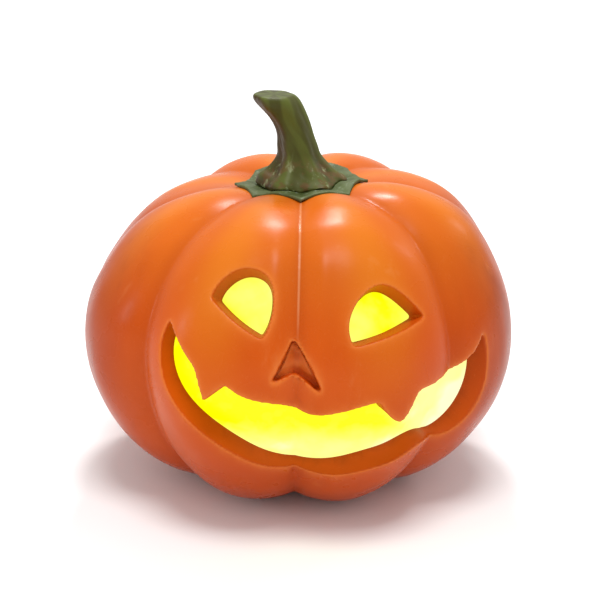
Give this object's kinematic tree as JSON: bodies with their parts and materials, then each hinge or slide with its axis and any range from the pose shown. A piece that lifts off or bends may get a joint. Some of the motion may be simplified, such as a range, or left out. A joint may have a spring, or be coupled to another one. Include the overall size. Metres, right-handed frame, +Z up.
{
  "type": "lighted pumpkin lantern",
  "caption": "Ribbed ceramic jack-o'-lantern with a curved stem, leaf collar, recessed glowing eyes and mouth, and a battery lamp in its foot",
  "frame": {"origin": "on the table, under the centre of the bounding box, which is the pumpkin's axis", "axes": "front (the face) towards -Y, +X to the viewer's right, +Z up along the pumpkin's axis"},
  "size_m": [0.2896, 0.2906, 0.2666],
  "materials": {
    "orange_paint": "satin hand-sprayed orange, redder in the grooves",
    "collar_paint": "satin grey-green, pale dry-brushed scuffs",
    "stem_paint": "satin olive green with brown shading",
    "glow_panel": "translucent yellow, lit from behind",
    "foot_rubber": "matte",
    "base_plastic": "fine moulded texture",
    "door_plastic": "fine moulded texture",
    "switch_plastic": "matte",
    "knob_plastic": "satin",
    "cell_jacket": "printed foil sleeve, plain",
    "contact_plating": "nickel plated",
    "board_laminate": "solder mask",
    "screw_steel": "zinc plated",
    "led_lens": "water-clear epoxy, lit",
    "resistor_body": "satin",
    "dome_frost": "frosted",
    "red_insulation": "satin",
    "black_insulation": "satin"
  },
  "bodies": {
    "lantern": {"base_gasket": "foot_rubber", "base_plate": "base_plastic", "battery_1": "cell_jacket", "battery_2": "cell_jacket", "battery_3": "cell_jacket", "board_screws": "screw_steel", "body_shell": "orange_paint", "contact_front_bridge": "contact_plating", "contact_front_terminal": "contact_plating", "contact_rear_bridge": "contact_plating", "contact_rear_terminal": "contact_plating", "contact_spring_1": "contact_plating", "contact_spring_2": "contact_plating", "contact_spring_3": "contact_plating", "lamp_dome": "dome_frost", "lead_black": "black_insulation", "lead_link": "red_insulation", "lead_red": "red_insulation", "leaf_collar": "collar_paint", "led_1": "led_lens", "led_2": "led_lens", "led_3": "led_lens", "led_board": "board_laminate", "left_eye_panel": "glow_panel", "mouth_panel": "glow_panel", "resistor": "resistor_body", "right_eye_panel": "glow_panel", "rubber_foot_1": "foot_rubber", "rubber_foot_2": "foot_rubber", "rubber_foot_3": "foot_rubber", "rubber_foot_4": "foot_rubber", "rubber_foot_5": "foot_rubber", "rubber_foot_6": "foot_rubber", "stem": "stem_paint", "switch_housing": "switch_plastic"},
    "battery_door": {"battery_door": "door_plastic"},
    "switch_slider": {"switch_slider": "knob_plastic"}
  },
  "joints": [
    {"name": "battery_door_slide", "type": "slide", "parent": "lantern", "child": "battery_door", "axis": [0, 1, 0], "range_m": [0, 0.062]},
    {"name": "switch_slide", "type": "slide", "parent": "lantern", "child": "switch_slider", "axis": [0, 1, 0], "range_m": [0, 0.004]}
  ]
}
